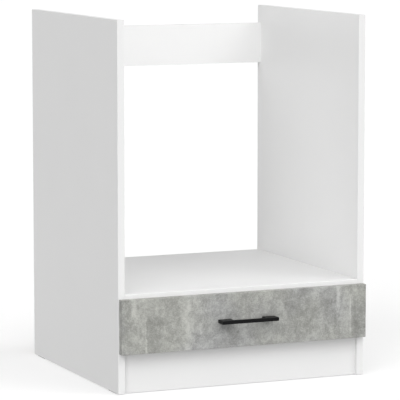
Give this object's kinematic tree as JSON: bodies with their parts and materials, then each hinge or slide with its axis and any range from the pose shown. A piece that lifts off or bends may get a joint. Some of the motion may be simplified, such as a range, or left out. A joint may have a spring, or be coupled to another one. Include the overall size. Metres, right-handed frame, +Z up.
{
  "type": "oven base cabinet",
  "caption": "Floor-standing kitchen base cabinet with an open niche for a built-in oven and a shallow drawer on roller runners under it.",
  "frame": {"origin": "on the floor, under the middle of the object's box", "axes": "+Z up, +X to the right seen from the front, and the front looks along -Y"},
  "size_m": [0.6, 0.586, 0.822],
  "materials": {
    "white_board": "white laminate, satin",
    "white_edging": "white edging, satin",
    "front_board": "grey concrete-look laminate, matt",
    "front_edging": "grey edging, matt",
    "drawer_board": "white laminate, satin",
    "hardboard": "white hardboard, matt",
    "black_metal": "black, satin",
    "runner_metal": "white powder coat",
    "roller_plastic": "white nylon",
    "pin_steel": "zinc plated",
    "fitting_zinc": "zinc",
    "dowel_wood": "beech, raw",
    "block_plastic": "white, matt",
    "glide_plastic": "dark, matt"
  },
  "bodies": {
    "carcass": {"left_side_board": "white_board", "right_side_board": "white_board", "oven_shelf": "white_board", "rear_rail": "white_board", "plinth_board": "white_board", "left_side_edging": "white_edging", "right_side_edging": "white_edging", "shelf_edging": "white_edging", "left_cabinet_runner": "runner_metal", "right_cabinet_runner": "runner_metal", "cabinet_roller_pins": "pin_steel", "carcass_cam_locks": "fitting_zinc", "carcass_cam_bolts": "fitting_zinc", "carcass_dowels": "dowel_wood", "left_plinth_block": "block_plastic", "right_plinth_block": "block_plastic", "floor_glides": "glide_plastic"},
    "drawer": {"drawer_front": "front_board", "drawer_front_left_edging": "front_edging", "drawer_front_right_edging": "front_edging", "drawer_front_bottom_edging": "front_edging", "drawer_front_top_edging": "front_edging", "drawer_left_side": "drawer_board", "drawer_right_side": "drawer_board", "drawer_back": "drawer_board", "drawer_bottom": "hardboard", "handle": "black_metal", "left_drawer_runner": "runner_metal", "right_drawer_runner": "runner_metal", "drawer_roller_pins": "pin_steel", "drawer_cam_locks": "fitting_zinc", "drawer_cam_bolts": "fitting_zinc"},
    "left_front_roller": {"left_front_roller": "roller_plastic"},
    "left_rear_roller": {"left_rear_roller": "roller_plastic"},
    "right_front_roller": {"right_front_roller": "roller_plastic"},
    "right_rear_roller": {"right_rear_roller": "roller_plastic"}
  },
  "joints": [
    {"name": "drawer_slide", "type": "slide", "parent": "carcass", "child": "drawer", "axis": [0, -1, 0], "range_m": [0, 0.37]},
    {"name": "left_front_roller_turn", "type": "hinge", "parent": "carcass", "child": "left_front_roller", "pos_m": [-0.2795, -0.232, 0.1143], "axis": [1, 0, 0], "continuous": true},
    {"name": "left_rear_roller_turn", "type": "hinge", "parent": "drawer", "child": "left_rear_roller", "pos_m": [-0.276, 0.237, 0.1165], "axis": [1, 0, 0], "continuous": true},
    {"name": "right_front_roller_turn", "type": "hinge", "parent": "carcass", "child": "right_front_roller", "pos_m": [0.2795, -0.232, 0.1143], "axis": [1, 0, 0], "continuous": true},
    {"name": "right_rear_roller_turn", "type": "hinge", "parent": "drawer", "child": "right_rear_roller", "pos_m": [0.276, 0.237, 0.1165], "axis": [1, 0, 0], "continuous": true}
  ],
  "couplings": [
    {"joint": "left_front_roller_turn", "follows": "drawer_slide", "rad_per_m": 111.11},
    {"joint": "left_rear_roller_turn", "follows": "drawer_slide", "rad_per_m": 111.11},
    {"joint": "right_front_roller_turn", "follows": "drawer_slide", "rad_per_m": 111.11},
    {"joint": "right_rear_roller_turn", "follows": "drawer_slide", "rad_per_m": 111.11}
  ]
}
